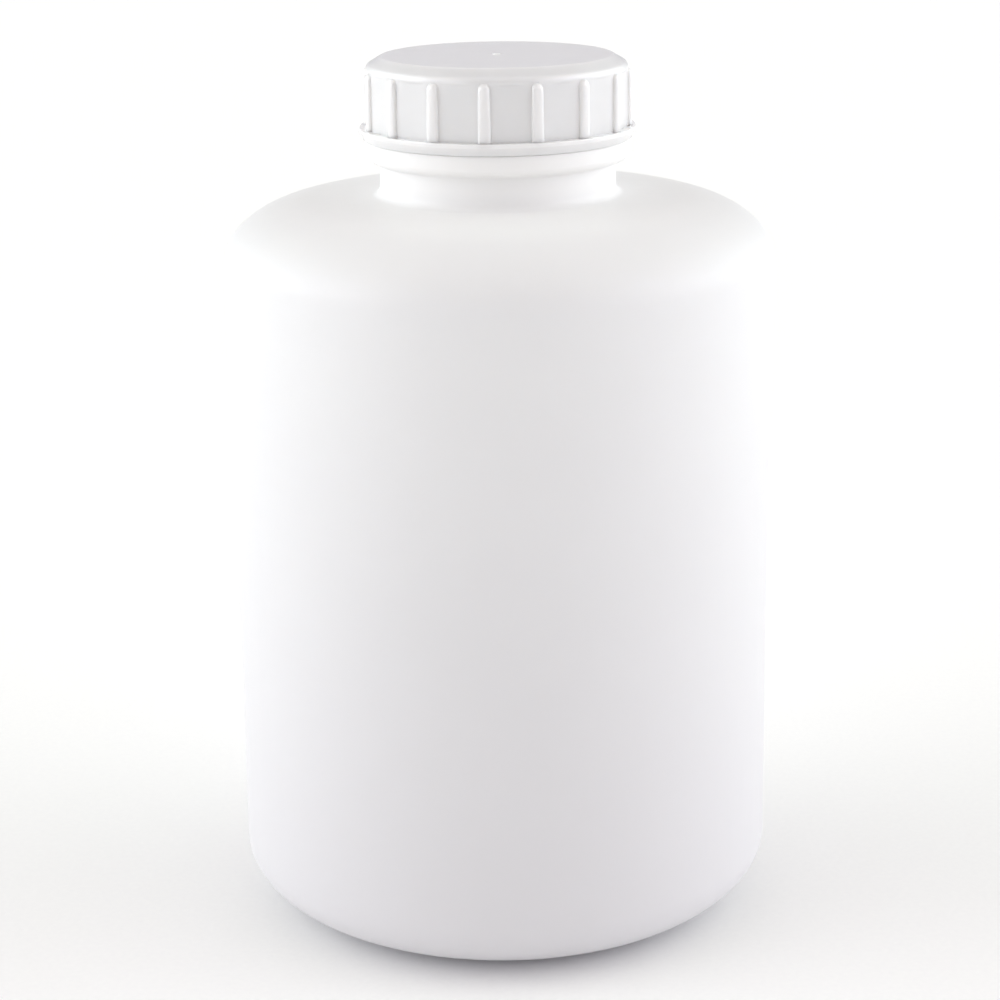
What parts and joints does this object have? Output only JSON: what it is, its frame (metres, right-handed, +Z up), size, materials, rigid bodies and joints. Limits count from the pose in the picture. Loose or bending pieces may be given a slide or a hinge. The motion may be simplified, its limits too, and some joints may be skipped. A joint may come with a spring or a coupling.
{
  "type": "reagent bottle",
  "caption": "Wide-mouth round plastic bottle with a threaded neck, a ribbed screw cap and a loose cap liner.",
  "frame": {"origin": "centre of the ring that the bottle stands on, in the plane of that ring", "axes": "+Z up along the bottle's axis; -Y is the side that faces the viewer in the reference view, and +X is to the viewer's right"},
  "size_m": [0.178, 0.178, 0.2842],
  "materials": {
    "bottle_plastic": "satin",
    "cap_plastic": "gloss",
    "liner_foam": "matte"
  },
  "bodies": {
    "bottle_body": {"bottle": "bottle_plastic"},
    "liner_body": {"cap_liner": "liner_foam"},
    "cap_body": {"screw_cap": "cap_plastic"}
  },
  "joints": [
    {"name": "cap_lift", "type": "slide", "parent": "bottle_body", "child": "liner_body", "axis": [0, 0, 1], "range_m": [0, 0.024]},
    {"name": "cap_turn", "type": "hinge", "parent": "liner_body", "child": "cap_body", "pos_m": [0, 0, 0.27], "axis": [0, 0, 1], "range_deg": [0, 1440]}
  ],
  "couplings": [
    {"joint": "cap_lift", "follows": "cap_turn", "m_per_rad": 0.00095493}
  ]
}
